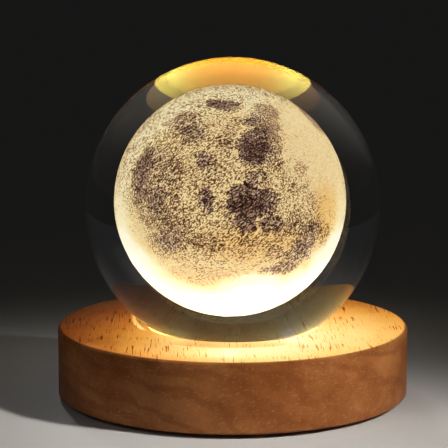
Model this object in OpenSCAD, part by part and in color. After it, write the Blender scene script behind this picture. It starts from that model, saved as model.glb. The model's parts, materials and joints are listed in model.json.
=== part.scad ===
// A table lamp: a solid glass ball with a moon engraved inside it, standing loose in a turned
// beech base. Six lights on a round board shine up through a clear disc into the ball.
// A push switch and a power inlet sit in a niche at the rear, and a disc closes the underside.
// Millimetres, +Z up. The origin is on the table, under the middle of the base; the front is -Y.

/* [Ball] */
// Diameter of the glass ball
ball_d = 80; // [76:1:84]
// Diameter of the engraved moon
moon_d = 41.4; // [30:0.2:52]
// How far the moon sits to the left of the ball's centre
moon_left = 0.5; // [0:0.1:3]
// How far the moon sits above the ball's centre
moon_raise = 0.9; // [0:0.1:3]

/* [Base] */
// Diameter of the wooden base
base_d = 95; // [94:0.5:104]
// Height of the base's top face above the table
base_h = 20; // [19.5:0.5:24]
// Bevel on the base's outer edges
base_bevel = 0.6; // [0.2:0.1:1.2]
// Height that the feet hold the wood above the table
foot_h = 1.2; // [0.8:0.1:1.6]
// Diameter of a foot
foot_d = 9; // [6:0.5:10]

/* [Recess for the ball] */
// Radius at which the ball bears on the cone
seat_r = 21; // [20.2:0.1:21.6]
// Radius at which the cone meets the top face
rim_r = 23.2; // [22.6:0.1:24]
// Radius of the straight wall below the cone
throat_r = 19.6; // [19:0.1:19.8]
// Radius of the light well
well_r = 18; // [15:0.1:18.4]
// Height of the ledge between the wall and the well
ledge_z = 12; // [10:0.1:13]
// Gap between the ball and the cone
seat_gap = 0.1; // [0.05:0.01:0.2]

/* [Lights] */
// Radius of the ring of lights
led_ring_r = 11; // [8:0.5:14]
// Thickness of the clear disc
lens_t = 1.5; // [1:0.1:2]

/* [Inlet and switch] */
// Width of the plate in the rear niche
plate_w = 36; // [35:0.5:37]
// Height of the plate in the rear niche
plate_h = 11; // [10.6:0.1:11.4]
// Distance of the inlet to the left of the middle, seen from the front
inlet_x = 7.5; // [6.6:0.1:7.8]
// Distance of the switch to the right of the middle, seen from the front
switch_x = 8; // [7.6:0.1:8.4]
// Diameter of the push button
button_d = 7; // [5:0.1:7.2]
// Travel of the push button
button_travel = 1.2; // [0.5:0.1:1.4]

/* [Hidden] */
$fn = 96;
eps = 0.01; // overlap of a cutter with the face that it opens
fit = 0.02; // radial gap of a screw in its hole

// Ball and seat
ball_r = ball_d / 2;
moon_r = moon_d / 2;
seat_a = asin(seat_r / ball_r); // slope of the cone, tangent to the ball
seat_z = base_h - (rim_r - seat_r) * tan(seat_a);
ball_z = seat_z + ball_r * cos(seat_a);
moon_centre = [-moon_left, 0, ball_z + moon_raise];
moon_gap = 0.05;
cone_drop = seat_gap / cos(seat_a);

// Heights inside the base, from the table up
cover_t = 1.5;
cover_r = 43;
cover_top = foot_h + cover_t;
led_board_t = 1;
led_board_z = cover_top + 1.5;
led_board_top = led_board_z + led_board_t;
led_count = 6;
led_size = [3.5, 2.8, 0.8];
lens_z = led_board_top + 1.6;
lens_top = lens_z + lens_t;
lens_r = 20;
led_board_r = 25.6;

// Rear pocket, circuit board and niche
pocket_w = 31.2;
pocket_front = 24.5;
pocket_back = 38.6;
pocket_top = 12.9;
pocket_corner = 2;
board_t = 1.2;
board_w = 30.4;
board_front = 27;
board_back = 38.2;
board_z = pocket_top - board_t;
tab_back = 41.2; // the board's tab under the inlet reaches into the window
tab_left = -12.6;
tab_right = 2.6;
niche_y = 41.4;
plate_t = 1.6;
plate_y = niche_y + plate_t;
inlet_size = [8.94, 7.3, 3.26];
inlet_wall = 0.3;
inlet_corner = 1.2;
axis_z = board_z - inlet_size.z / 2; // height of the inlet and of the button
window_w = 25.2;
window_low = axis_z - 3.9;
window_high = axis_z + 3.9;

// Switch, with its axis along Y
switch_w = 7;
switch_h = 4.4;
switch_front = 39.8;
switch_back = 33;
stem_r = 1.2;
stem_bore_r = 1.3;
spring_y = switch_back + 0.8;
stem_y = 37.2; // inner end of the stem at rest
cap_y = switch_front + button_travel + 0.6;
cap_len = 3;
cap_bore = 2;
spring_r = 0.9;
spring_wire_r = 0.15;
spring_turns = 5;
spring_steps = 8;
spring_sides = 6;

// Fasteners: head radius, head height, shank radius, length under the head's face
cover_screw = [2.2, 1.2, 1, 7];
led_screw = [1.9, 1.1, 0.9, 5];
board_screw = [1.8, 1.1, 0.9, 4.6];
plate_screw = [1.5, 0.9, 0.7, 4];
cover_screw_r = 33.5;
led_screw_r = 23.1;
three_way = [-90, 30, 150];
board_screw_x = 12.6;
board_screw_y = 30.5;
plate_screw_x = 14.9;
foot_ring_r = 37;

// Leads from the circuit board down to the pads under the light board
wire_r = 0.4;
wire_sides = 8;
lead_x = 2.2;
pad_y = 18.6;
solder_r = 1.1;
solder_h = 1.1;
lead_z = led_board_z - 0.7;
route = [
    [0.0, 29.6, board_z], [0.0, 29.6, 10.4], [0.0, 29.5, 9.0], [0.1, 29.1, 7.6],
    [0.2, 28.4, 6.2], [0.3, 27.4, 5.0], [0.4, 26.2, 4.1], [0.5, 24.8, lead_z],
    [0.6, 23.0, lead_z], [0.6, 21.4, lead_z], [0.5, 20.4, lead_z], [0.4, pad_y + solder_r, lead_z]
];

// ---- Shapes that repeat ----

// A rectangle with round corners, w wide and h high, about the origin
module rounded_rect(w, h, r) {
    square([w - 2 * r, h], center = true);
    square([w, h - 2 * r], center = true);
    for (x = [-1, 1], y = [-1, 1])
        translate([x * (w / 2 - r), y * (h / 2 - r)]) circle(r);
}

// Carries a flat outline in X and Z to the depth y and makes it t thick towards the rear
module along_y(y, t) {
    translate([0, y + t, 0]) rotate([90, 0, 0]) linear_extrude(t) children();
}

// A screw with its head's face at z = 0 and its shank upwards: [head r, head h, shank r, length]
module screw(s, countersunk) {
    slot = s[0] * 0.3;
    difference() {
        union() {
            if (countersunk) cylinder(r1 = s[0], r2 = s[2], h = s[1], $fn = 48);
            else cylinder(r = s[0], h = s[1], $fn = 48);
            cylinder(r = s[2], h = s[3], $fn = 48);
        }
        for (turn = [0, 90]) rotate(turn)
            translate([-s[0] * 0.6, -slot / 2, -eps]) cube([s[0] * 1.2, slot, s[1] * 0.5]);
    }
}

// The hole that such a countersunk screw passes through in a plate t thick
module screw_hole(s, t) {
    translate([0, 0, -eps]) cylinder(r = s[2] + 3 * fit, h = t + 2 * eps, $fn = 48);
    cylinder(r1 = s[0] + 3 * fit, r2 = s[2] + 3 * fit, h = s[1], $fn = 48);
}

module at_angles(angles, r) {
    for (a = angles) rotate(a) translate([r, 0, 0]) children();
}

// A tube through the points p, round in section, for leads that run mainly in the Y-Z plane
function unit(v) = v / norm(v);
function heading(p, i) = unit(p[min(i + 1, len(p) - 1)] - p[max(i - 1, 0)]);
function tube_ring(p, i, r, n) =
    let (along = heading(p, i), side = unit(cross([1, 0, 0], along)), up = cross(along, side))
    [for (k = [0:n - 1]) p[i] + r * (side * cos(360 * k / n) + up * sin(360 * k / n))];
function tube_faces(rings, n) = concat(
    [[for (k = [0:n - 1]) k]],
    [for (i = [0:rings - 2], k = [0:n - 1], half = [0, 1])
        let (a = i * n + k, b = i * n + (k + 1) % n)
        half == 0 ? [b, a, a + n] : [b, a + n, b + n]],
    [[for (k = [n - 1:-1:0]) (rings - 1) * n + k]]
);
module tube(p, r, n) {
    polyhedron([for (i = [0:len(p) - 1]) each tube_ring(p, i, r, n)], tube_faces(len(p), n));
}

// ---- The wooden base and what closes it ----

module base_blank() {
    r = base_d / 2;
    rotate_extrude() polygon([
        [0, foot_h], [r - base_bevel, foot_h], [r, foot_h + base_bevel],
        [r, base_h - base_bevel], [r - base_bevel, base_h], [0, base_h]
    ]);
}

// Cone, straight wall and light well, turned from above
module ball_recess() {
    cone_top_r = rim_r + cone_drop / tan(seat_a);
    cone_low_z = base_h - (cone_top_r - throat_r) * tan(seat_a);
    over_r = cone_top_r + 1 / tan(seat_a);
    rotate_extrude() polygon([
        [0, lens_top - eps], [well_r, lens_top - eps], [well_r, ledge_z], [throat_r, ledge_z],
        [throat_r, cone_low_z], [over_r, base_h + 1], [0, base_h + 1]
    ]);
}

// Rebates for the cover, the light board and the clear disc, and the pocket for the circuit
// board, all milled from below
module pockets() {
    low = foot_h - 1;
    translate([0, 0, low]) cylinder(r = cover_r + 0.2, h = cover_top - low);
    translate([0, 0, low]) cylinder(r = led_board_r + 0.6, h = led_board_top - low);
    translate([0, 0, low]) cylinder(r = lens_r + 0.05, h = lens_top - low);
    depth = pocket_back - pocket_front;
    translate([0, pocket_front + depth / 2, low])
        linear_extrude(pocket_top - low) rounded_rect(pocket_w, depth, pocket_corner);
}

// Niche for the port plate, and the window behind it
module rear_niche() {
    translate([0, 0, axis_z]) {
        along_y(niche_y, base_d / 2) rounded_rect(plate_w + 0.4, plate_h + 0.4, plate_h / 2 + 0.19);
        along_y(pocket_back - 1, niche_y - pocket_back + 1 + eps)
            rounded_rect(window_w, window_high - window_low, 1.5);
    }
}

module wood_base() {
    color("burlywood") difference() {
        base_blank();
        ball_recess();
        pockets();
        rear_niche();
        at_angles(three_way, cover_screw_r) translate([0, 0, foot_h])
            cylinder(r = cover_screw[2] + fit, h = cover_screw[3] + 0.5, $fn = 48);
        at_angles(three_way, led_screw_r) translate([0, 0, led_board_z - led_screw[1]])
            cylinder(r = led_screw[2] + fit, h = led_screw[3] + 0.5, $fn = 48);
        for (x = [-1, 1]) translate([x * board_screw_x, board_screw_y, board_z - board_screw[1]])
            cylinder(r = board_screw[2] + fit, h = board_screw[3] + 0.5, $fn = 48);
        for (x = [-1, 1]) translate([x * plate_screw_x, plate_y, axis_z])
            rotate([90, 0, 0]) cylinder(r = plate_screw[2] + fit, h = plate_screw[3] + 0.2, $fn = 48);
    }
}

module bottom_cover() {
    color("peru") translate([0, 0, foot_h]) difference() {
        cylinder(r = cover_r, h = cover_t);
        at_angles(three_way, cover_screw_r) screw_hole(cover_screw, cover_t);
    }
}

module cover_screws() {
    color("silver") at_angles(three_way, cover_screw_r) translate([0, 0, foot_h])
        screw(cover_screw, true);
}

module foot(i) {
    round_r = 0.4;
    r = foot_d / 2;
    color("dimgray") at_angles([45 + 90 * (i - 1)], foot_ring_r) rotate_extrude() union() {
        translate([0, round_r]) square([r, foot_h - round_r]);
        square([r - round_r, foot_h]);
        translate([r - round_r, round_r]) circle(round_r, $fn = 32);
    }
}

// ---- The lights and their clear disc ----

module lens() {
    color([0.9, 0.95, 1, 0.4]) translate([0, 0, lens_z]) cylinder(r = lens_r, h = lens_t);
}

module led_board() {
    color("white") translate([0, 0, led_board_z]) difference() {
        cylinder(r = led_board_r, h = led_board_t);
        at_angles(three_way, led_screw_r) translate([0, 0, -eps])
            cylinder(r = led_screw[2] + 3 * fit, h = led_board_t + 2 * eps, $fn = 48);
    }
}

module led_board_screws() {
    color("silver") at_angles(three_way, led_screw_r) translate([0, 0, led_board_z - led_screw[1]])
        screw(led_screw, false);
}

// A light: its white package, with a round dish in the top
module led(i) {
    dish_r = 1.1;
    color("khaki") at_angles([360 * (i - 0.5) / led_count], led_ring_r)
        translate([0, 0, led_board_top]) difference() {
            translate([-led_size.x / 2, -led_size.y / 2, 0]) cube(led_size);
            translate([0, 0, led_size.z - 0.3])
                cylinder(r1 = dish_r - 0.2, r2 = dish_r, h = 0.3 + eps, $fn = 48);
        }
}

// ---- Leads ----

module solder_joints() {
    color("silver") for (x = [-1, 1])
        translate([x * lead_x + x * route[len(route) - 1].x, pad_y, led_board_z - solder_h])
            cylinder(r = solder_r, h = solder_h, $fn = 48);
}

function lead_points(x) = [for (p = route) [x * (lead_x + p.x), p.y, p.z]];

module wire_red() { color("firebrick") tube(lead_points(-1), wire_r, wire_sides); }

module wire_black() { color("black") tube(lead_points(1), wire_r, wire_sides); }

// ---- Circuit board, inlet and switch ----

module circuit_board() {
    color("darkgreen") translate([0, 0, board_z]) difference() {
        union() {
            translate([0, (board_front + board_back) / 2, 0]) linear_extrude(board_t)
                rounded_rect(board_w, board_back - board_front, pocket_corner);
            translate([tab_left, board_back - 1, 0])
                cube([tab_right - tab_left, tab_back - board_back + 1, board_t]);
        }
        for (x = [-1, 1]) translate([x * board_screw_x, board_screw_y, -eps])
            cylinder(r = board_screw[2] + 3 * fit, h = board_t + 2 * eps, $fn = 48);
    }
}

module circuit_board_screws() {
    color("silver") for (x = [-1, 1])
        translate([x * board_screw_x, board_screw_y, board_z - board_screw[1]])
            screw(board_screw, false);
}

module resistors() {
    size = [3.2, 1.6, 0.6];
    color("black") for (y = [34, 36.6, 39.2])
        translate([-size.x / 2, y - size.y / 2, board_z - size.z]) cube(size);
}

module capacitor() {
    color("tan") translate([-11.4, 33, board_z - 1.4]) cube([3.2, 1.6, 1.4]);
}

module inlet_shell() {
    color("silver") translate([-inlet_x, 0, axis_z]) difference() {
        along_y(plate_y - 0.1 - inlet_size.y, inlet_size.y)
            rounded_rect(inlet_size.x, inlet_size.z, inlet_corner);
        along_y(plate_y - 0.1 - inlet_size.y - eps, inlet_size.y + 2 * eps)
            rounded_rect(inlet_size.x - 2 * inlet_wall, inlet_size.z - 2 * inlet_wall,
                         inlet_corner - inlet_wall);
    }
}

// The plastic block at the back of the inlet, and the tongue that carries its contacts
module inlet_tongue() {
    back_y = plate_y - 0.1 - inlet_size.y;
    block_y = 2.2;
    color("black") translate([-inlet_x, 0, axis_z]) {
        along_y(back_y, block_y)
            rounded_rect(inlet_size.x - 2 * inlet_wall, inlet_size.z - 2 * inlet_wall,
                         inlet_corner - inlet_wall);
        along_y(back_y + block_y - eps, 4.2) rounded_rect(6.6, 0.7, 0.3);
    }
}

module port_plate() {
    color("dimgray") difference() {
        translate([0, 0, axis_z]) along_y(niche_y, plate_t)
            rounded_rect(plate_w, plate_h, plate_h / 2 - eps);
        translate([-inlet_x, 0, axis_z]) along_y(niche_y - eps, plate_t + 2 * eps)
            rounded_rect(inlet_size.x + 0.3, inlet_size.z + 0.3, inlet_corner + 0.15);
        translate([switch_x, plate_y + eps, axis_z]) rotate([90, 0, 0])
            cylinder(r = button_d / 2 + 0.25, h = plate_t + 2 * eps);
        for (x = [-1, 1]) translate([x * plate_screw_x, plate_y, axis_z]) rotate([90, 0, 0])
            screw_hole(plate_screw, plate_t);
    }
}

module port_plate_screws() {
    color("silver") for (x = [-1, 1]) translate([x * plate_screw_x, plate_y, axis_z])
        rotate([90, 0, 0]) screw(plate_screw, true);
}

module switch_body() {
    color("black") difference() {
        translate([switch_x - switch_w / 2, switch_back, board_z - switch_h])
            cube([switch_w, switch_front - switch_back, switch_h]);
        translate([switch_x, switch_front + eps, axis_z]) rotate([90, 0, 0])
            cylinder(r = stem_bore_r, h = switch_front - spring_y + eps, $fn = 48);
    }
}

// The return spring: an unbroken coil about the switch's axis
module switch_spring() {
    n = spring_turns * spring_steps;
    low = spring_y + spring_wire_r;
    rise = stem_y - spring_y - 2 * spring_wire_r;
    points = [for (i = [0:n], k = [0:spring_sides - 1])
        let (turn = 360 * i / spring_steps, around = 360 * k / spring_sides,
             out = spring_r + spring_wire_r * cos(around))
        [switch_x + out * cos(turn), low + rise * i / n + spring_wire_r * sin(around),
         axis_z + out * sin(turn)]];
    color("gainsboro") polyhedron(points, tube_faces(n + 1, spring_sides));
}

module switch_stem() {
    color("white") translate([switch_x, cap_y + cap_bore, axis_z]) rotate([90, 0, 0])
        cylinder(r = stem_r, h = cap_y + cap_bore - stem_y, $fn = 48);
}

// The button: a round cap with a bevelled rim and a shallow dish, pressed on the stem
module switch_cap() {
    r = button_d / 2;
    edge = 0.5;
    dish_sphere_r = 12;
    dish_depth = 0.35;
    color("dimgray") translate([switch_x, cap_y, axis_z]) rotate([-90, 0, 0]) difference() {
        union() {
            cylinder(r = r, h = cap_len - edge);
            translate([0, 0, cap_len - edge]) cylinder(r1 = r, r2 = r - edge, h = edge);
        }
        translate([0, 0, cap_len + dish_sphere_r - dish_depth]) sphere(dish_sphere_r);
        translate([0, 0, -eps]) cylinder(r = stem_r + 0.05, h = cap_bore + eps, $fn = 48);
    }
}

// ---- The ball ----

module glass_ball() {
    color([0.85, 0.93, 1, 0.35]) difference() {
        translate([0, 0, ball_z]) sphere(ball_r);
        translate(moon_centre) sphere(moon_r + moon_gap);
    }
}

module engraved_moon() {
    color("moccasin") translate(moon_centre) sphere(moon_r);
}

wood_base();
bottom_cover();
cover_screws();
for (i = [1:4]) foot(i);
lens();
led_board();
led_board_screws();
for (i = [1:led_count]) led(i);
solder_joints();
wire_red();
wire_black();
circuit_board();
circuit_board_screws();
resistors();
capacitor();
inlet_shell();
inlet_tongue();
port_plate();
port_plate_screws();
switch_body();
switch_spring();
switch_stem();
switch_cap();
glass_ball();
engraved_moon();
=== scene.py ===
"""A moon lamp: a solid glass ball with an engraved moon, lit from below by its beech base.

The fixed frame comes first, then the camera and the studio, and then the lamp in the order
in which it is put together: the base and what is in it, and last the ball.
Units are metres; the front is -Y and +Z is up.
"""

import json
import math

import bpy
from mathutils import Matrix, Vector

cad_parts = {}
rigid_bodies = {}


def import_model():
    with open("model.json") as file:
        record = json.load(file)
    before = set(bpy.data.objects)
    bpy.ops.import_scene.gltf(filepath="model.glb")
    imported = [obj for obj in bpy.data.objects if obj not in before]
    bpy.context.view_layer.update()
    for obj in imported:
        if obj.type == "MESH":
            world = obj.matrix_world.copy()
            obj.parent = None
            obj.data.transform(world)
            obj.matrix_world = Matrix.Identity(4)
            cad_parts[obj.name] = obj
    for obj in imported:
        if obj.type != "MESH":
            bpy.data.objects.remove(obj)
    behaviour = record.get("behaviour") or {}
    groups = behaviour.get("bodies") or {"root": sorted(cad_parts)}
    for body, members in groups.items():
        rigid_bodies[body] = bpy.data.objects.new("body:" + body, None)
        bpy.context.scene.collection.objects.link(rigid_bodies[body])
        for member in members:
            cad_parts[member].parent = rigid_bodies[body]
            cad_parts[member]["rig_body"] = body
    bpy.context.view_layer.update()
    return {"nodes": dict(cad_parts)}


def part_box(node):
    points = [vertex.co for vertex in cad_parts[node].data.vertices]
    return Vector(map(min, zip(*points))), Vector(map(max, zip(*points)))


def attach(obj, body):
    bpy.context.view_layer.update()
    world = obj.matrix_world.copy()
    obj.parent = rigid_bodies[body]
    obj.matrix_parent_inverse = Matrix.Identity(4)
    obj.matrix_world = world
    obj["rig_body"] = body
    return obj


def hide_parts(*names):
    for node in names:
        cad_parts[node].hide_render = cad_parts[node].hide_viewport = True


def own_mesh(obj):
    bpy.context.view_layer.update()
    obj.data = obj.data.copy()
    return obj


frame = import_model()
nodes = frame["nodes"]

# ---------------------------------------------------------------------------------------
# Camera
# A long lens from a little above the ball's middle, straight from the front, as the lamp
# was photographed. It is aimed slightly below the ball's middle and to its left.

glass_low, glass_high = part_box("glass_ball")
ball_centre = (glass_low + glass_high) / 2
ball_radius = (glass_high.z - glass_low.z) / 2

camera_distance = 0.616
camera_elevation = math.radians(9.18)
aim_left = 0.00235
aim_down = 0.0051
lens_length = 183.1
sensor_width = 36
nearest_seen = 0.05

camera_data = bpy.data.cameras.new("camera")
camera_data.lens = lens_length
camera_data.sensor_width = sensor_width
camera_data.clip_start = nearest_seen
camera = bpy.data.objects.new("camera", camera_data)
bpy.context.scene.collection.objects.link(camera)
away = Vector((0, -math.cos(camera_elevation), math.sin(camera_elevation)))
upwards = Vector((0, math.sin(camera_elevation), math.cos(camera_elevation)))
camera.location = ball_centre + camera_distance * away
aim = ball_centre - aim_left * Vector((1, 0, 0)) - aim_down * upwards
camera.rotation_euler = (aim - camera.location).to_track_quat("-Z", "Y").to_euler()
bpy.context.scene.camera = camera
bpy.context.scene.view_settings.view_transform = "Standard"

# ---------------------------------------------------------------------------------------
# Studio
# A wide pale floor, a faint plain world and three soft lamps with narrow cones. Their light
# is kept to the object, so the floor is palest round it and falls into shade behind it.

floor_size = 30
floor_colour = (0.58, 0.57, 0.55, 1)
floor_roughness = 0.9
world_level = 0.014
lamp_width = 0.12
lamp_cone = math.radians(8)

bpy.ops.object.select_all(action="DESELECT")
bpy.ops.mesh.primitive_plane_add(size=floor_size, location=(0, 0, 0))
floor = bpy.context.object
floor.name = "studio_floor"
floor_material = bpy.data.materials.new("studio_floor")
floor_material.use_nodes = True
floor_shader = floor_material.node_tree.nodes["Principled BSDF"]
floor_shader.inputs["Base Color"].default_value = floor_colour
floor_shader.inputs["Roughness"].default_value = floor_roughness
floor.data.materials.append(floor_material)

world = bpy.data.worlds.new("studio")
bpy.context.scene.world = world
world.use_nodes = True
world.node_tree.nodes["Background"].inputs["Color"].default_value = (1, 1, 1, 1)
world.node_tree.nodes["Background"].inputs["Strength"].default_value = world_level


def soft_lamp(name, place, aim, power, colour=(1, 1, 1)):
    """A square lamp that lights a narrow cone. Glass and polish don't show it."""
    light = bpy.data.lights.new(name, "AREA")
    light.size = lamp_width
    light.spread = lamp_cone
    light.energy = power
    light.color = colour
    lamp = bpy.data.objects.new(name, light)
    bpy.context.scene.collection.objects.link(lamp)
    lamp.location = place
    lamp.rotation_euler = (Vector(aim) - lamp.location).to_track_quat("-Z", "Y").to_euler()
    lamp.visible_transmission = False
    lamp.visible_glossy = False


soft_lamp("key", (0.70, -0.36, 0.62), (0.02, -0.06, 0.01), 0.060, (1, 0.97, 0.93))
soft_lamp("fill", (-0.60, -0.60, 0.62), (0, -0.06, 0.01), 0.004)
soft_lamp("back", (-0.20, 0.70, 0.66), (0, 0.01, 0.02), 0.010)

# ---------------------------------------------------------------------------------------
# Wooden base
# Turned from one beech plank, its grain running from back to front, with a small bevel on
# its outer edges and an oiled finish. The glow from the lights under the ball is painted onto its
# recess and top.


class Value:
    """An output of a shader node. Arithmetic on it adds Math nodes."""

    def __init__(self, shader, socket):
        self.shader = shader
        self.socket = socket

    def maths(self, operation, a, b=None):
        inputs = {0: a} if b is None else {0: a, 1: b}
        return self.shader.node("Math", inputs, operation=operation)

    def __add__(self, other):
        return self.maths("ADD", self, other)

    def __radd__(self, other):
        return self.maths("ADD", other, self)

    def __sub__(self, other):
        return self.maths("SUBTRACT", self, other)

    def __rsub__(self, other):
        return self.maths("SUBTRACT", other, self)

    def __mul__(self, other):
        return self.maths("MULTIPLY", self, other)

    def __rmul__(self, other):
        return self.maths("MULTIPLY", other, self)

    def __truediv__(self, other):
        return self.maths("DIVIDE", self, other)

    def __rtruediv__(self, other):
        return self.maths("DIVIDE", other, self)

    def __pow__(self, other):
        return self.maths("POWER", self, other)

    def __rpow__(self, other):
        return self.maths("POWER", other, self)

    def __neg__(self):
        return self.maths("MULTIPLY", self, -1)

    def __abs__(self):
        return self.maths("ABSOLUTE", self)

    def larger(self, other):
        return self.maths("MAXIMUM", self, other)

    def smaller(self, other):
        return self.maths("MINIMUM", self, other)

    def folded(self, pitch):
        """Distance from the middle of the strip of that pitch that holds the value."""
        return abs(self.maths("FLOORED_MODULO", self, pitch) - pitch / 2)

    def step(self, low, high):
        """0 below low, 1 above high, smooth between; falls instead if low is above high."""
        limits = {"Value": self, "From Min": low, "From Max": high}
        return self.shader.node("MapRange", limits, interpolation_type="SMOOTHSTEP")


class Shader:
    """A material with a Principled shader, and the nodes that feed it."""

    def __init__(self, name, **constants):
        self.material = bpy.data.materials.new(name)
        self.material.use_nodes = True
        self.tree = self.material.node_tree
        self.main = self.tree.nodes["Principled BSDF"]
        self.place = self.node("TexCoord", output="Object")
        self.feed(**constants)

    def node(self, kind, inputs=(), output=0, stops=(), **settings):
        """A node with its settings, a ramp's stops as (place, colour), and its sockets."""
        made = self.tree.nodes.new("ShaderNode" + kind)
        for name, setting in settings.items():
            setattr(made, name, setting)
        for number, (place, colour) in enumerate(stops):
            elements = made.color_ramp.elements
            stop = elements[number] if number < len(elements) else elements.new(place)
            stop.position, stop.color = place, (*colour, 1)
        for name, given in dict(inputs).items():
            self.join(given, made.inputs[name])
        return Value(self, made.outputs[output])

    def join(self, given, socket):
        if isinstance(given, Value):
            self.tree.links.new(given.socket, socket)
        elif socket.type == "RGBA" and len(given) == 3:
            socket.default_value = (*given, 1)
        else:
            socket.default_value = given

    def feed(self, **inputs):
        """Sets the Principled shader's sockets: base_color=..., roughness=..., and so on."""
        for name, given in inputs.items():
            words = name.replace("_", " ").title().replace("Ior", "IOR")
            self.join(given, self.main.inputs[words])

    def mapped(self, size, turn=(0, 0, 0), centre=(0, 0, 0), at=None):
        """The place from that centre along turned axes, counted in that size."""
        settings = {"Vector": at or self.place, "Location": centre, "Rotation": turn,
                    "Scale": size}
        return self.node("Mapping", settings, vector_type="TEXTURE")

    def noise(self, scale, detail=2.0, roughness=0.5, at=None, distortion=0.0):
        settings = {"Vector": at or self.place, "Scale": scale, "Detail": detail,
                    "Roughness": roughness, "Distortion": distortion}
        return self.node("TexNoise", settings)

    def ramp(self, value, stops):
        """That value as a colour, from stops of a place and a screen colour."""
        colours = [(place, on_screen(*shade)) for place, shade in stops]
        return self.node("ValToRGB", {0: value}, stops=colours)

    def mix(self, factor, a, b, blend="MIX"):
        """One colour into another by a factor, through the Mix node's colour sockets."""
        sockets = {0: factor, 6: a, 7: b}
        return self.node("Mix", sockets, output=2, data_type="RGBA", blend_type=blend)

    def bump(self, height, depth, strength=1.0):
        settings = {"Height": height, "Distance": depth, "Strength": strength}
        return self.node("Bump", settings)

    def coordinates(self, at=None):
        """The X, Y and Z of a point."""
        split = self.node("SeparateXYZ", {0: at or self.place})
        return [Value(self, out) for out in split.socket.node.outputs]


def on_screen(red, green, blue):
    """The linear colour that a screen shows as these three values from 0 to 255."""
    return [((part / 255 + 0.055) / 1.055) ** 2.4 for part in (red, green, blue)]


def only(piece):
    """Selects that object alone and makes it the active one."""
    bpy.ops.object.select_all(action="DESELECT")
    piece.select_set(True)
    bpy.context.view_layer.objects.active = piece


def dressed(node, material, bevel=0.0, segments=2, angle=30, flat=0.2):
    """A copy of a CAD node with its loose triangles joined into faces, its edges eased and
    its curves shaded smooth. It stands for the node and rides on the node's body. Triangles
    within the angle `flat` are one face, and edges over `angle` are eased and stay crisp."""
    source = nodes[node]
    piece = bpy.data.objects.new(node + "_finished", source.data.copy())
    bpy.context.scene.collection.objects.link(piece)
    only(piece)
    bpy.ops.object.mode_set(mode="EDIT")
    bpy.ops.mesh.select_all(action="SELECT")
    bpy.ops.mesh.remove_doubles(threshold=1e-6)
    bpy.ops.mesh.dissolve_limited(angle_limit=math.radians(flat))
    bpy.ops.object.mode_set(mode="OBJECT")
    if bevel:
        rounding = piece.modifiers.new("rounding", "BEVEL")
        rounding.width = bevel
        rounding.segments = segments
        rounding.limit_method = "ANGLE"
        rounding.angle_limit = math.radians(angle)
        bpy.ops.object.modifier_apply(modifier="rounding")
    bpy.ops.object.shade_smooth_by_angle(angle=math.radians(angle))
    piece.data.materials.clear()
    piece.data.materials.append(material)
    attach(piece, source["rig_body"])
    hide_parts(node)
    return piece


top_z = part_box("wood_base")[1].z
rim_radius = 0.0234
throat_high_z = 0.018
wood_easing = 0.00012

beech = Shader("beech", specular_ior_level=0.12)
x, y, z = beech.coordinates()
radius = ((x * x + y * y) ** 0.5).larger(0.001)

# Annual rings: wide soft bands, which cross the top as long lines and the front as flat arcs
ring_pitch = 0.0065
ring_skew, ring_tilt = 0.1, 0.35
warp_size, warp_reach = (0.022, 0.08, 0.012), 0.022
warp = beech.noise(1, 4, 0.55, beech.mapped(warp_size))
across = (x + ring_skew * y) * ring_tilt + z + warp * warp_reach
rings = beech.node("Math", {0: across * (2 * math.pi / ring_pitch)}, operation="SINE")

# Rays and pores: dark dashes along the grain, which are small dots where it is cut across
pore_size = (0.0004, 0.012, 0.0008)
fibre_size = (0.0003, 0.004, 0.0003)
fleck_size = (0.0012, 0.0012, 0.0004)
lean = (0, 0, math.radians(2))
fleck_lean = (0, math.radians(-24), 0)
dashed_skin = (top_z - 0.0008, top_z - 0.0002)
dashes = beech.noise(1, 2, 0.5, beech.mapped(pore_size, lean))
dash_mask = dashes.step(0.58, 0.65) * beech.noise(130, 3).step(0.38, 0.56)
dash_mask = dash_mask * (0.2 + 0.8 * z.step(*dashed_skin))
fibres = beech.noise(1, 3, 0.6, beech.mapped(fibre_size, lean))
flecks = beech.noise(1, 2, 0.6, beech.mapped(fleck_size, fleck_lean))
clouds = beech.noise(52, 5, 0.62)

pale_beech, dark_beech = (0.40, 0.150, 0.046), (0.235, 0.072, 0.017)
ring_brown, fibre_brown = (0.19, 0.054, 0.012), (0.17, 0.050, 0.012)
fleck_tan, pore_brown = (0.56, 0.32, 0.17), (0.09, 0.033, 0.012)
wood = beech.mix(clouds.step(0.36, 0.66), pale_beech, dark_beech)
wood = beech.mix(rings.step(-0.2, 1.0) * 0.45, wood, ring_brown)
wood = beech.mix(fibres.step(0.45, 0.8) * 0.35, wood, fibre_brown)
wood = beech.mix(flecks.step(0.56, 0.75) * 0.35, wood, fleck_tan)
wood = beech.mix(dash_mask * 0.75, wood, pore_brown)

# Painted light on the top, from 0 to 1: painted strongest in front of the ball and to its right,
# with the pores dark in it, a painted white highlight and a painted shade under the ball's front
# and a painted bright arc of light at its left
bright_side = math.radians(-65)
glow_reach = 0.021
highlight_x, highlight_y = -0.004, -0.0375
highlight_width, highlight_depth = 0.014, 0.006
light_arc_x, light_arc_end_y, light_arc_bend = -0.0275, 0.018, 200
light_arc_edge = (0.0010, 0.0003)
light_arc_front, light_arc_back = (-0.010, -0.006), (0.022, 0.014)
ball_shade = (0.0315, 0.0290)
facing = (x * math.cos(bright_side) + y * math.sin(bright_side)) / radius
leftwards = (-x / radius).larger(0)
outwards = (radius - rim_radius) / glow_reach
lit = 0.68 + facing * 0.27 - leftwards * 0.09 - outwards * (0.2 + leftwards * 0.16)
# Painted white highlight on the top under the ball's front
painted_highlight_patch = ((x - highlight_x) / highlight_width) ** 2 + ((y - highlight_y) / highlight_depth) ** 2
lit = lit + math.e ** -painted_highlight_patch * 0.14
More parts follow.
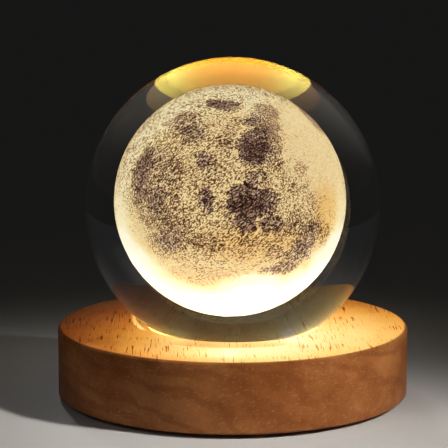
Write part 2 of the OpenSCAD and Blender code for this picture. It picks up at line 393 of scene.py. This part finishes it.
# Painted bright arc of light on the top at the ball's left
painted_light_arc = abs(x - light_arc_x - (light_arc_end_y - y) ** 3 * light_arc_bend).step(*light_arc_edge)
lit = lit + painted_light_arc * y.step(*light_arc_front) * y.step(*light_arc_back) * 0.3 * leftwards
# Painted shade on the top next to the seat, under the ball's front
lit = lit - radius.step(*ball_shade) * (-y / radius).step(0.8, 0.97) * 0.2
lit = lit - dash_mask * 0.32 - fibres.step(0.45, 0.8) * 0.06
lit = lit + (clouds - 0.5) * 0.2 + rings * 0.015
top_glow = beech.ramp(lit, [
    (0.0, (0, 0, 0)), (0.2, (104, 48, 14)), (0.4, (164, 98, 28)), (0.55, (220, 154, 62)),
    (0.7, (241, 199, 112)), (0.8, (248, 224, 142)), (0.9, (250, 242, 184)), (1.0, (255, 255, 247)),
])
lit_skin = (top_z - 0.0012, top_z - 0.0002)
edge_fade = (0.0472, 0.0464)
inside_rim = rim_radius - 0.0004
on_top = z.step(*lit_skin) * radius.step(inside_rim, rim_radius) * radius.step(*edge_fade)

# The painted glow in the recess is far brighter: its straight wall most of all, the cone under the
# ball least, with painted shade on the cone's front where the ball covers it
well_floor = (0.0076, 0.0083)
# Colours of the painted glow on the recess wall
glow_yellow, glow_orange = (1.0, 0.79, 0.14), (1.0, 0.46, 0.03)
front = (-y / radius).step(0.45, 1.0)
in_recess = radius.step(rim_radius, inside_rim) * z.step(*well_floor)
on_cone = z.step(throat_high_z - 0.0002, throat_high_z + 0.0003)
wall_light = 1 - on_cone * (0.25 + 0.68 * front)
wall_glow = beech.mix(front, glow_yellow, glow_orange)

# The painted glows of the top and the recess are the wood's emission
emission_full = 8.0
glow = beech.mix(on_top / emission_full, (0, 0, 0), top_glow)
recess_glow = beech.mix(in_recess * wall_light, (0, 0, 0), wall_glow)
relief = -(dash_mask * 0.7 + fibres * 0.3)
beech.feed(
    base_color=wood,
    roughness=0.4 + dash_mask * 0.25 + clouds * 0.15,
    emission_color=beech.mix(1.0, glow, recess_glow, "ADD"),
    emission_strength=emission_full,
    normal=beech.bump(relief, 0.00006, 0.6),
)
dressed("wood_base", beech.material, bevel=wood_easing)

# ---------------------------------------------------------------------------------------
# Underside: cover, screws and feet
# A disc of brown hardboard let into the base and held by three countersunk screws. Four
# silicone pads are stuck to it.

hardboard = Shader("fibreboard")
strand_size, strand_turn = (0.003, 0.0004, 0.001), (0, 0, 0.5)
matted = hardboard.noise(1400, 4, 0.7)
strands = hardboard.noise(1, 3, 0.6, hardboard.mapped(strand_size, strand_turn))
mottle = matted * 0.6 + strands * 0.4
hardboard.feed(
    base_color=hardboard.mix(mottle, (0.075, 0.036, 0.016), (0.22, 0.115, 0.052)),
    roughness=0.75 + strands * 0.2,
    normal=hardboard.bump(matted + strands, 0.00006, 0.5),
)
dressed("bottom_cover", hardboard.material, bevel=0.00015)

lathe_mark_size = (0.001, 0.001, 0.0001)
steel = Shader("screw_steel", metallic=1.0)
lathe_marks = steel.noise(1, 3, 0.6, steel.mapped(lathe_mark_size))
stains = steel.noise(900, 3)
steel.feed(
    base_color=steel.mix(stains, (0.42, 0.42, 0.4), (0.68, 0.68, 0.66)),
    roughness=0.25 + lathe_marks * 0.25,
    normal=steel.bump(lathe_marks, 0.00001, 0.4),
)
screw_easing = 0.00006
dressed("cover_screws", steel.material, bevel=screw_easing)

silicone = Shader("silicone", subsurface_weight=0.15, subsurface_scale=0.0006)
dust = silicone.noise(2600, 3, 0.7)
silicone.feed(
    base_color=silicone.mix(dust, (0.008, 0.008, 0.009), (0.024, 0.024, 0.025)),
    roughness=0.5 + dust * 0.3,
    normal=silicone.bump(dust, 0.00001, 0.3),
)
for number in range(1, 5):
    dressed(f"foot_{number}", silicone.material, angle=50)

# ---------------------------------------------------------------------------------------
# Light board
# A white aluminium board with six warm white lights in a ring and the copper tracks between
# them showing through its paint. Three pan-head screws hold it up against the wood.

lights_ring = 0.011
rim_track_radius = 0.0172
track_edge, rim_track_edge = (0.0012, 0.0011), (0.0004, 0.0003)

board_paint = Shader("white_board")
x, y, _ = board_paint.coordinates()
radius = (x * x + y * y) ** 0.5
track = abs(radius - lights_ring).step(*track_edge)
rim_track = abs(radius - rim_track_radius).step(*rim_track_edge)
raised = track.larger(rim_track)
speckle = board_paint.noise(3000, 3)
board_paint.feed(
    base_color=board_paint.mix(raised, (0.78, 0.78, 0.75), (0.68, 0.68, 0.63)),
    roughness=0.3 + speckle * 0.2,
    normal=board_paint.bump(raised + speckle * 0.1, 0.00004, 0.6),
)
dressed("led_board", board_paint.material, bevel=0.00008)
dressed("led_board_screws", steel.material, bevel=screw_easing)

# Each light is a white package with a dish of yellow phosphor and a tinned contact at each
# end. The pattern is folded about the board's middle, so that it fits all six.
light_length = 0.0035
dish_radius, dish_edge = 0.0011, 0.00002
between_lights = math.radians(60)

light_package = Shader("led_phosphor")
x, y, _ = light_package.coordinates()
radius = (x * x + y * y) ** 0.5
turn = light_package.node("Math", {0: y, 1: x}, operation="ARCTAN2")
off_axis = turn.folded(between_lights)
outward = radius * light_package.node("Math", {0: off_axis}, operation="COSINE") - lights_ring
sideways = radius * light_package.node("Math", {0: off_axis}, operation="SINE")
from_middle = (outward * outward + sideways * sideways) ** 0.5
phosphor = from_middle.step(dish_radius + dish_edge, dish_radius - dish_edge)
contact = abs(outward).step(light_length * 0.40, light_length * 0.42)
grains = light_package.noise(9000, 3)
shine = phosphor * (0.8 + grains * 0.2)
package = light_package.mix(contact, (0.82, 0.81, 0.77), (0.62, 0.61, 0.58))
light_package.feed(
    base_color=light_package.mix(phosphor, package, (0.9, 0.62, 0.08)),
    roughness=0.45 + grains * 0.2,
    metallic=contact * (1 - phosphor),
    emission_color=light_package.mix(shine, (0, 0, 0), (1.0, 0.66, 0.07)),
    emission_strength=14.0,
    normal=light_package.bump(grains, 0.00001, 0.3),
)
for number in range(1, 7):
    dressed(f"led_{number}", light_package.material, bevel=0.00006)

# ---------------------------------------------------------------------------------------
# Clear disc
# Acrylic with a faint haze on its faces, glued in the light well over the lights.

acrylic = Shader("clear_acrylic", ior=1.49, transmission_weight=1.0,
                 base_color=(0.97, 0.98, 0.99))
haze = acrylic.noise(700, 3)
acrylic.feed(roughness=0.08 + haze * 0.08, normal=acrylic.bump(haze, 0.00001, 0.15))
dressed("lens", acrylic.material, bevel=0.00012)

# ---------------------------------------------------------------------------------------
# Leads and solder
# A red and a black lead run from the circuit board down to two pads under the light board,
# each end in a small cone of solder.

for node, slot, low, high in [
    ("wire_red", "red_wire", (0.25, 0.008, 0.006), (0.42, 0.02, 0.014)),
    ("wire_black", "black_wire", (0.008, 0.008, 0.008), (0.022, 0.022, 0.022)),
]:
    sleeve = Shader(slot)
    scuffs = sleeve.noise(1600, 3)
    sleeve.feed(
        base_color=sleeve.mix(scuffs, low, high),
        roughness=0.35 + scuffs * 0.2,
        normal=sleeve.bump(scuffs, 0.00001, 0.3),
    )
    dressed(node, sleeve.material, angle=60)

tin = Shader("solder", metallic=1.0)
crystals = tin.noise(3500, 2)
tin.feed(
    base_color=tin.mix(crystals, (0.5, 0.5, 0.5), (0.78, 0.78, 0.77)),
    roughness=0.2 + crystals * 0.2,
    normal=tin.bump(crystals, 0.00002, 0.3),
)
dressed("solder_joints", tin.material, bevel=0.0005, segments=5)

# ---------------------------------------------------------------------------------------
# Circuit board
# Green lacquered board with its chips facing down and a tab that carries the inlet. Two
# pan-head screws hold it against the top of its pocket.

track_pitch = 0.00127
track_length = 0.016
copper_edge = (0.0002, 0.00015)

lacquer = Shader("green_board", coat_weight=0.4)
x, y, _ = lacquer.coordinates()
runs = lacquer.noise(1, 0, 0, lacquer.mapped((track_pitch, track_length, 1))).step(0.5, 0.52)
crossings = lacquer.noise(1, 0, 0, lacquer.mapped((track_length, track_pitch, 1))).step(0.55, 0.57)
lines = x.folded(track_pitch).step(*copper_edge) * runs
cross_lines = y.folded(track_pitch).step(*copper_edge) * crossings
copper = lines.larger(cross_lines)
weave = lacquer.noise(2400, 2)
board_green = lacquer.mix(weave, (0.004, 0.05, 0.018), (0.006, 0.075, 0.028))
lacquer.feed(
    base_color=lacquer.mix(copper, board_green, (0.012, 0.16, 0.05)),
    roughness=0.28 + weave * 0.15,
    normal=lacquer.bump(copper + weave * 0.1, 0.00004, 0.5),
)
dressed("circuit_board", lacquer.material, bevel=0.0001)
dressed("circuit_board_screws", steel.material, bevel=screw_easing)

cap_edge = 0.00005
cap_tin = (0.62, 0.62, 0.6)


def chip(node, slot, body_colours, cap_width):
    """Small ceramic chips with a tinned cap at each end of their length."""
    low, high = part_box(node)
    ceramic = Shader(slot)
    x = ceramic.coordinates()[0]
    middle, half = (high.x + low.x) / 2, (high.x - low.x) / 2
    cap = abs(x - middle).step(half - cap_width, half - cap_width + cap_edge)
    grain = ceramic.noise(6000, 3)
    ceramic.feed(
        base_color=ceramic.mix(cap, ceramic.mix(grain, *body_colours), cap_tin),
        metallic=cap,
        roughness=0.45 - cap * 0.15 + grain * 0.15,
        normal=ceramic.bump(cap + grain * 0.15, 0.00004, 0.6),
    )
    dressed(node, ceramic.material, bevel=0.00008)


chip("resistors", "chip_ceramic", ((0.012, 0.012, 0.014), (0.03, 0.03, 0.032)), 0.0005)
chip("capacitor", "capacitor_ceramic", ((0.2, 0.115, 0.05), (0.3, 0.18, 0.085)), 0.0006)

# ---------------------------------------------------------------------------------------
# Inlet
# A drawn steel shell on the tab of the circuit board, with a black tongue in its middle that
# carries the gilt contacts.

draw_mark_size = (0.00025, 0.0035, 0.00025)
drawn_steel = Shader("inlet_steel", metallic=1.0)
draw_marks = drawn_steel.noise(1, 3, 0.6, drawn_steel.mapped(draw_mark_size))
drawn_steel.feed(
    base_color=drawn_steel.mix(draw_marks, (0.5, 0.5, 0.5), (0.7, 0.7, 0.69)),
    roughness=0.18 + draw_marks * 0.2,
    normal=drawn_steel.bump(draw_marks, 0.00001, 0.3),
)
dressed("inlet_shell", drawn_steel.material, bevel=0.00006)

tongue_low, tongue_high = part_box("inlet_tongue")
contact_pitch = 0.0005
contact_edge, contact_row = (0.00013, 0.00011), (0.0029, 0.0028)
contact_face = (0.00030, 0.00033)
contact_reach = (0.0032, 0.0031)

tongue_plastic = Shader("black_plastic")
x, y, z = tongue_plastic.coordinates()
side_x = abs(x - (tongue_low.x + tongue_high.x) / 2)
face_z = abs(z - (tongue_low.z + tongue_high.z) / 2)
gilt = side_x.folded(contact_pitch).step(*contact_edge) * side_x.step(*contact_row)
gilt = gilt * face_z.step(*contact_face) * (tongue_high.y - y).step(*contact_reach)
moulding = tongue_plastic.noise(5000, 3)
tongue_black = tongue_plastic.mix(moulding, (0.006, 0.006, 0.006), (0.016, 0.016, 0.016))
tongue_plastic.feed(
    base_color=tongue_plastic.mix(gilt, tongue_black, (0.75, 0.5, 0.18)),
    metallic=gilt,
    roughness=0.4 + moulding * 0.2 - gilt * 0.15,
    normal=tongue_plastic.bump(gilt + moulding * 0.1, 0.00003, 0.5),
)
dressed("inlet_tongue", tongue_plastic.material, bevel=0.00005)

# ---------------------------------------------------------------------------------------
# Port plate
# Moulded plastic with a spark-eroded grain, let into the niche at the rear and held by two
# small countersunk screws.

plate_plastic = Shader("plate_plastic")
spark = plate_plastic.noise(4200, 3, 0.6)
wear = plate_plastic.noise(160, 3)
plate_plastic.feed(
    base_color=plate_plastic.mix(wear, (0.010, 0.0095, 0.009), (0.022, 0.021, 0.02)),
    roughness=0.55 + wear * 0.15,
    normal=plate_plastic.bump(spark, 0.00004, 0.5),
)
dressed("port_plate", plate_plastic.material, bevel=0.00015)
dressed("port_plate_screws", steel.material, bevel=screw_easing)

# ---------------------------------------------------------------------------------------
# Push switch
# A black housing under the circuit board with a coil spring in its bore. The white stem
# rides in the bore and carries the dished button. On the real switch the spring's inner end
# stays put and it shortens as the button is pressed; here it is dressed and given its own mesh,
# and nothing shortens it.

housing = Shader("switch_plastic")
grain = housing.noise(5200, 3)
housing.feed(
    base_color=housing.mix(grain, (0.006, 0.006, 0.006), (0.018, 0.018, 0.018)),
    roughness=0.4 + grain * 0.2,
    normal=housing.bump(grain, 0.00002, 0.4),
)
dressed("switch_body", housing.material, bevel=0.00012)

spring_steel = Shader("spring_steel", metallic=1.0)
wound = spring_steel.noise(6000, 2)
spring_steel.feed(
    base_color=spring_steel.mix(wound, (0.5, 0.5, 0.5), (0.72, 0.72, 0.7)),
    roughness=0.25 + wound * 0.2,
)
spring = dressed("switch_spring", spring_steel.material, angle=60)
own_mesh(spring)

stem_plastic = Shader("white_plastic")
flow = stem_plastic.noise(2500, 3)
stem_plastic.feed(
    base_color=stem_plastic.mix(flow, (0.68, 0.68, 0.64), (0.8, 0.8, 0.77)),
    roughness=0.3 + flow * 0.2,
)
dressed("switch_stem", stem_plastic.material, bevel=0.0001)

button_low, button_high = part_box("switch_cap")
button_centre = (button_low + button_high) / 2
turning_pitch, turning_groove = 0.00025, (0.00002, 0.0001)

button_plastic = Shader("button_plastic")
x, _, z = button_plastic.coordinates()
out_x, out_z = x - button_centre.x, z - button_centre.z
radius = (out_x * out_x + out_z * out_z) ** 0.5
turned = radius.folded(turning_pitch).step(*turning_groove)
skin = button_plastic.noise(5000, 3)
button_plastic.feed(
    base_color=button_plastic.mix(skin, (0.016, 0.015, 0.014), (0.034, 0.031, 0.029)),
    roughness=0.3 + skin * 0.2,
    normal=button_plastic.bump(turned * 0.3 + skin * 0.5, 0.00002, 0.4),
)
dressed("switch_cap", button_plastic.material, bevel=0.00015, angle=20, flat=0.02)

# ---------------------------------------------------------------------------------------
# Glass ball
# Clear crystal glass, ground and polished to a full sphere. It isn't hollow: the moon is
# inside the glass, so one surface bends the light and there is no gap round the moon.

glass_index = 1.5168
halvings = 6
crumb_size = 0.0014


def round_piece(name, centre, radius, crumbs=0.0):
    """A cube halved into small squares and blown up to a sphere, so that it has no poles.
    Crumbs are how deep its surface is roughened."""
    bpy.ops.object.select_all(action="DESELECT")
    bpy.ops.mesh.primitive_cube_add(size=2 * radius, location=centre)
    piece = bpy.context.object
    piece.name = name
    squares = piece.modifiers.new("squares", "SUBSURF")
    squares.subdivision_type = "SIMPLE"
    squares.levels = squares.render_levels = halvings
    blown = piece.modifiers.new("blown", "CAST")
    blown.factor = 1
    bpy.ops.object.modifier_apply(modifier="squares")
    bpy.ops.object.modifier_apply(modifier="blown")
    piece.scale = [2 * radius / piece.dimensions.z] * 3
    bpy.ops.object.transform_apply(location=False, rotation=False, scale=True)
    if crumbs:
        pattern = bpy.data.textures.new("crumbs", "CLOUDS")
        pattern.noise_scale = crumb_size
        pattern.noise_depth = 2
        rough = piece.modifiers.new("rough", "DISPLACE")
        rough.texture = pattern
        rough.strength = crumbs
        bpy.ops.object.modifier_apply(modifier="rough")
    bpy.ops.object.transform_apply(location=True, rotation=True, scale=True)
    bpy.ops.object.shade_smooth()
    return piece


ball = round_piece("crystal_ball", ball_centre, ball_radius)
smear_shape, smear_turn = (1.0, 1.0, 0.35), (0.4, 0.6, 0)
glass = Shader("crystal_glass", ior=glass_index, transmission_weight=1.0)
smears = glass.noise(38, 4, 0.6, glass.mapped(smear_shape, smear_turn))
glass.feed(
    base_color=glass.mix(smears, (0.985, 0.985, 0.98), (0.972, 0.976, 0.97)),
    roughness=smears.step(0.55, 0.8) * 0.008,
)
ball.data.materials.append(glass.material)
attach(ball, "ball")
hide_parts("glass_ball")

# ---------------------------------------------------------------------------------------
# Engraved moon
# Thousands of tiny cracks set in the glass by a laser, which together make a moon. The seas
# are sparse marks and stay dark, the highlands are dense, and their shine in the light from
# below is painted on as a glow.

moon_low, moon_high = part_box("engraved_moon")
moon_centre = (moon_low + moon_high) / 2
moon_radius = (moon_high.z - moon_low.z) / 2
spot_thickness = 0.6

moon = round_piece("moon_marks", moon_centre, moon_radius, crumbs=0.00012)
marks = Shader("engraved_moon", roughness=0.9)
unit = marks.mapped([moon_radius] * 3, centre=moon_centre)


def about(longitude, latitude, width, height, turn=0, at=unit):
    """Distance from that place on the moon, 1 on an ellipse of that half width and height.
    In degrees: longitude to the right, latitude upwards, and the turn anticlockwise."""
    lon, lat = math.radians(longitude), math.radians(latitude)
    out = Vector((math.cos(lat) * math.sin(lon), -math.cos(lat) * math.cos(lon), math.sin(lat)))
    east = Vector((math.cos(lon), math.sin(lon), 0))
    east.rotate(Matrix.Rotation(math.radians(turn), 3, out))
    axes = Matrix((east, out.cross(east), out)).transposed().to_euler()
    size = (math.radians(width), math.radians(height), spot_thickness)
    local = marks.mapped(size, axes, out, at)
    return marks.node("VectorMath", {0: local}, output="Value", operation="LENGTH")


# Seas and rays have ragged outlines, because the places they are read at are shaken, first
# coarsely and then finely
shaken = unit
for fineness, reach in [(3.0, 0.20), (12.0, 0.16)]:
    settings = {"Vector": unit, "Scale": fineness, "Detail": 4, "Roughness": 0.65}
    shake = marks.node("TexNoise", settings, output="Color")
    shake = marks.node("VectorMath", {0: shake, 1: (0.5, 0.5, 0.5)}, operation="SUBTRACT")
    shake = marks.node("VectorMath", {0: shake, "Scale": reach}, operation="SCALE")
    shaken = marks.node("VectorMath", {0: shaken, 1: shake}, operation="ADD")

# The seas: longitude, latitude, half width, half height, turn, and darkness from 0 to 1
seas = [
    (-22, 79, 11, 6, 0, 0.9), (-56, 58, 12, 8, 20, 0.5), (-36, 50, 10, 7, 25, 0.55),
    (58, 66, 9, 7, 0, 0.5), (27, 63, 6, 4, 30, 0.7), (19, 40, 10, 8, 0, 1.0),
    (22, 50, 10, 5, 10, 0.8), (38, 56, 10, 5, 0, 0.5), (40, 46, 6, 8, -10, 0.45),
    (-3, 46, 7, 4, 0, 0.45), (-20, 34, 6, 5, 0, 0.65), (-11, 25, 6, 8, 0, 0.4),
    (-24, 18, 4, 4, 0, 0.3), (-15, 9, 5, 8, 10, 0.8), (9, 15, 10, 5, 0, 0.85),
    (9, 6, 11, 8, 0, 1.0), (22, 8, 8, 7, 0, 0.8), (8, -3, 7, 6, 0, 0.75),
    (26, -5, 9, 6, 0, 0.65), (17, 23, 6, 5, 0, 0.55), (52, 25, 4, 5, 0, 0.3),
    (31, 34, 7, 8, 0, 0.4), (40, -7, 11, 5, 15, 0.4), (29, -24, 7, 5, 0, 0.5),
    (54, -15, 11, 9, 30, 0.6), (71, -16, 5, 6, 0, 0.45), (50, -24, 11, 7, 0, 0.65),
    (38, -36, 13, 5, 10, 0.7), (11, -15, 7, 4, 0, 0.3), (59, 3, 6, 5, 0, 0.15),
    (-54, 24, 20, 16, 0, 0.45), (-56, 2, 11, 10, 0, 0.4), (-42, 5, 13, 8, 0, 0.38),
    (-68, 18, 8, 16, 0, 0.5), (-35, -7, 13, 6, 0, 0.45), (-38, -16, 12, 6, 0, 0.5),
    (-14, -17, 11, 5, 0, 0.45), (-46, -20, 11, 7, 0, 0.35),
    (180, 20, 30, 20, 0, 0.5), (140, -20, 18, 14, 20, 0.5), (-140, 30, 20, 14, 0, 0.45),
    (-120, -10, 14, 16, 0, 0.4), (120, 40, 14, 10, 0, 0.5), (165, -35, 12, 8, 0, 0.4),
]
# Bright rays between them: the same, with brightness
rays = [
    (-22, 62, 11, 7, 20, 0.8), (14, 71, 10, 6, -10, 0.9), (13, 56, 8, 5, 0, 1.0),
    (44, 66, 6, 5, 0, 0.5), (-33, 34, 9, 6, 0, 0.6), (-28, 13, 5, 7, 0, 0.5),
    (-20, 4, 5, 4, 0, 0.5), (-5, 20, 3, 6, 0, 0.5), (30, 22, 3, 5, -20, 0.5),
    (2, 33, 8, 4, 0, 0.5), (-54, 38, 9, 7, 20, 0.8), (42, 6, 10, 6, 0, 0.9),
    (-66, -10, 8, 10, 0, 0.7), (-57, -17, 6, 5, 0, 0.4), (-50, 14, 12, 4, 0, 0.35),
    (4, -33, 20, 7, 0, 0.6), (42, 32, 5, 7, 0, 0.5),
    (66, -5, 6, 6, 0, 0.7), (33, -28, 6, 4, 0, 0.3), (15, -8, 4, 3, 0, 0.3),
]
sea, ray = 0.0, 0.0
for longitude, latitude, width, height, turn, darkness in seas:
    spot = about(longitude, latitude, width, height, turn, shaken).step(1.3, 0.7) * darkness
    sea = sea + spot - sea * spot
for longitude, latitude, width, height, turn, brightness in rays:
    spot = about(longitude, latitude, width, height, turn, shaken).step(1.4, 0.4) * brightness
    ray = ray + spot - ray * spot

# Painted light: the bottom is painted white-hot and the limb pale, from the front as from
# behind, and the right side is smooth. A crater with rings round it shows faintly in the painted
# hot part.
hot_light_edge, warm_light_edge, limb_light_edge = (-0.30, 0.13), (-0.75, -0.08), (0.48, 0.16)
crater_pitch = 0.34
mx, my, mz = marks.coordinates(unit)
drift = marks.noise(7, 4, 0.6, unit) - 0.5
inwards = (my * my + 0.03) ** 0.5
# How far a point lies into the painted light from below
depth = -inwards * 0.76 - mx * 0.01 - mz - 0.30 + drift * 0.25
depth = depth - about(-34, -46, 30, 11).step(1.4, 0.4) * 0.17
depth = depth - about(52, -38, 16, 10).step(1.4, 0.4) * 0.1
depth = depth + about(14, -45, 20, 8).step(1.4, 0.5) * 0.15
painted_hot_light = depth.step(*hot_light_edge)
painted_warm_light = depth.step(*warm_light_edge)
smooth = about(80, 32, 34, 40, 0, shaken).step(1.2, 0.6)
painted_limb_light = inwards.step(*limb_light_edge) * (1 - smooth * 0.8)
crater = about(-5, -42, 9, 7)
ring = crater.folded(crater_pitch).step(0.10, 0.16) * crater.step(1.1, 1.0)
ring = ring * mz.step(-0.80, -0.70)

# Grain: round clumps, and streaks, fine marks and dark flecks drawn out on a slant
slant = (0, math.radians(-35), 0)
streak_size, fleck_size = (0.20, 0.10, 0.065), (0.08, 0.045, 0.03)
grain_size = (0.026, 0.014, 0.012)
streaks = marks.noise(1, 3, 0.6, marks.mapped(streak_size, slant, at=unit)) - 0.5
clumps = marks.noise(15, 2, 0.6, unit) - 0.5
grains = marks.noise(1, 1, 0.5, marks.mapped(grain_size, slant, at=unit), distortion=0.6)
grains = grains.step(0.36, 0.64) - 0.5
flecks = marks.noise(1, 3, 0.6, marks.mapped(fleck_size, slant, at=unit)).step(0.58, 0.70)
rough = (1 - painted_hot_light * 0.9) * (1 - smooth * 0.7) * (1 - painted_limb_light * 0.2) * (1 - painted_warm_light * 0.25)

# The tone holds the seas and rays with the painted light laid over them
tone = 0.67 - sea * 0.52 + ray * 0.18 + painted_warm_light * 0.32 + painted_limb_light * 0.12 + smooth * 0.15
tone = tone + (streaks * 0.8 + clumps * 0.4 + grains * 0.8 - flecks * 0.2) * rough
tone = tone.smaller(0.83 + painted_hot_light * 0.2 + painted_limb_light * 0.12)
tone = tone + painted_hot_light * (1.05 - tone) - ring * 0.12
land = marks.ramp(tone, [
    (0.05, (40, 16, 4)), (0.15, (62, 34, 14)), (0.3, (98, 65, 34)), (0.42, (126, 91, 56)),
    (0.5, (150, 116, 78)), (0.6, (181, 147, 104)), (0.7, (210, 177, 127)), (0.8, (236, 206, 150)),
    (0.88, (246, 228, 172)), (0.95, (251, 243, 202)), (1.0, (254, 250, 226)),
])
dark = marks.ramp(tone, [
    (0.05, (30, 8, 4)), (0.15, (54, 28, 18)), (0.3, (90, 61, 46)), (0.42, (120, 89, 73)),
    (0.5, (142, 112, 96)), (0.6, (174, 144, 121)), (0.7, (206, 176, 142)), (0.8, (232, 204, 156)),
    (1.0, (254, 250, 226)),
])
amber_tint = (1.0, 0.84, 0.60)
picture = marks.mix(sea.step(0.25, 0.75), land, dark)
amber = about(14, -18, 34, 13, 0, shaken).step(1.3, 0.4) * 0.7
amber = amber.larger(about(70, -4, 14, 18, 0, shaken).step(1.3, 0.4))
picture = marks.mix(amber * (1 - painted_hot_light), picture, amber_tint, "MULTIPLY")

# The hottest painted light is brighter than the screen's white, so the rest is dimmed to match
emission_full = 1.25
hottest_light = (1.0, 0.90, 0.79)
unlit = (0.03, 0.025, 0.02)
picture = marks.mix(1.0, picture, [1 / emission_full] * 3, "MULTIPLY")
# The picture with its painted light is the moon's glow, and half of it is in the base colour too
marks.feed(
    base_color=marks.mix(0.5, picture, unlit),
    emission_color=marks.mix(painted_hot_light.step(0.8, 1.0), picture, hottest_light),
    emission_strength=emission_full,
)
moon.data.materials.append(marks.material)
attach(moon, "ball")
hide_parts("engraved_moon")
